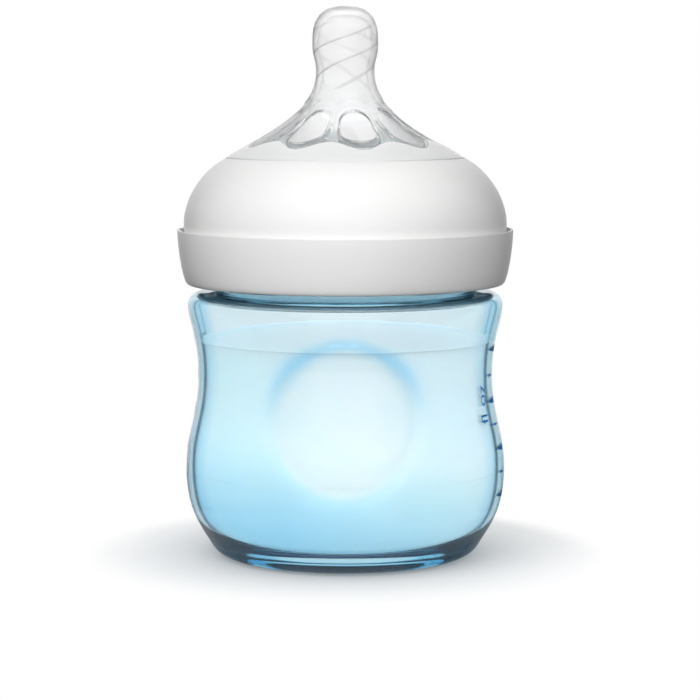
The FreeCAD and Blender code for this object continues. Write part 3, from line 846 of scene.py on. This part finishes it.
# Clear silicone rubber, injection moulded: polished windows, a padded foot and a finely frosted
# nipple, whose grain is drawn about 1 mm wide, coarser than it is, so that it shows
silicone, tree = newMaterial("mouldedSilicone")
place = addNode(tree, "ShaderNodeTexCoord").outputs["Object"]
frostHere = addNode(tree, "ShaderNodeAttribute", attribute_name="frost").outputs["Fac"]
padHere = addNode(tree, "ShaderNodeAttribute", attribute_name="padding").outputs["Fac"]
creaseShadeHere = addNode(tree, "ShaderNodeAttribute", attribute_name="creaseShade").outputs["Fac"]
grain = addNode(tree, "ShaderNodeTexNoise", {"Vector": place, "Scale": 900.0, "Detail": 2.0})
grainBump = addNode(tree, "ShaderNodeBump", {
    "Height": grain.outputs["Fac"], "Strength": frostHere, "Distance": 0.00002})
rough = addNode(tree, "ShaderNodeMapRange", {"Value": frostHere, "To Min": 0.03, "To Max": 0.20})
padClear = addNode(tree, "ShaderNodeMapRange", {"Value": padHere, "To Min": 1.0, "To Max": 0.2})
frostClear = addNode(tree, "ShaderNodeMapRange", {"Value": frostHere, "To Min": 1.0, "To Max": 0.75})
through = addNode(tree, "ShaderNodeMath", {0: padClear, 1: frostClear}, operation="MULTIPLY")
padTone = addNode(tree, "ShaderNodeMix", {
    0: padHere, 6: linearColour("#ffffff"), 7: linearColour("#f3f4f4")}, data_type="RGBA")
# painted shade along the edges of the spiral grooves
creaseShadeTone = addNode(tree, "ShaderNodeMix", {
    0: creaseShadeHere, 6: padTone.outputs[2], 7: linearColour("#7d8185")}, data_type="RGBA")
# painted shade: darker where the clear rubber is seen edge on
edgeOn = addNode(tree, "ShaderNodeLayerWeight", {"Blend": 0.5})
edgeShadeHere = addNode(tree, "ShaderNodeMapRange", {
    "Value": edgeOn.outputs["Facing"], "From Min": 0.50, "From Max": 0.84})
edgeShadeMask = addNode(tree, "ShaderNodeMath", {0: edgeShadeHere, 1: padHere}, operation="SUBTRACT", use_clamp=True)
tone = addNode(tree, "ShaderNodeMix", {
    0: edgeShadeMask, 6: creaseShadeTone.outputs[2], 7: linearColour("#75797c")}, data_type="RGBA")
rubber = addNode(tree, "ShaderNodeBsdfPrincipled", {
    "Base Color": tone.outputs[2], "Roughness": rough, "Transmission Weight": through,
    "Normal": grainBump, "IOR": 1.41})
addNode(tree, "ShaderNodeOutputMaterial", {"Surface": rubber})
teatSkin.data.materials.append(silicone)

# White polypropylene, injection moulded with a satin spark-eroded finish: its grit is drawn 0.6 mm
# wide, coarser than it is, so that it shows, and its flow marks are about 25 mm apart
ringPlastic, tree = newMaterial("satinPolypropylene")
place = addNode(tree, "ShaderNodeTexCoord").outputs["Object"]
spark = addNode(tree, "ShaderNodeTexNoise", {"Vector": place, "Scale": 1600.0, "Detail": 3.0})
sparkBump = addNode(tree, "ShaderNodeBump", {
    "Height": spark.outputs["Fac"], "Strength": 0.12, "Distance": 0.00002})
flow = addNode(tree, "ShaderNodeTexNoise", {"Vector": place, "Scale": 40.0, "Detail": 2.0})
satin = addNode(tree, "ShaderNodeMapRange", {"Value": flow.outputs["Fac"], "To Min": 0.29, "To Max": 0.36})
whiteTone = addNode(tree, "ShaderNodeValToRGB", {0: flow.outputs["Fac"]}, ((0, "#f0f0f0"), (1, "#f6f6f5")))
shell = addNode(tree, "ShaderNodeBsdfPrincipled", {
    "Base Color": whiteTone, "Roughness": satin, "Normal": sparkBump, "IOR": 1.49,
    "Specular IOR Level": 0.25, "Subsurface Weight": 0.1, "Subsurface Radius": (0.001, 0.001, 0.001),
    "Subsurface Scale": 1.0})
addNode(tree, "ShaderNodeOutputMaterial", {"Surface": shell})
for slot in bpy.data.objects["screw_ring"].material_slots:
    slot.material = ringPlastic
threadPiece.data.materials.append(ringPlastic)

# Pad-printed blue ink: matt, and a touch thinner in specks of about 0.8 mm
ink, tree = newMaterial("padPrintedInk")
place = addNode(tree, "ShaderNodeTexCoord").outputs["Object"]
speckle = addNode(tree, "ShaderNodeTexNoise", {"Vector": place, "Scale": 1200.0, "Detail": 2.0})
inkTone = addNode(tree, "ShaderNodeValToRGB", {0: speckle.outputs["Fac"]}, ((0, "#0a7ac6"), (1, "#1588d2")))
inkFilm = addNode(tree, "ShaderNodeBsdfPrincipled", {
    "Base Color": inkTone, "Roughness": 0.6, "IOR": 1.5, "Specular IOR Level": 0.15})
addNode(tree, "ShaderNodeOutputMaterial", {"Surface": inkFilm})
printedScale.data.materials.append(ink)
print("materials are set")
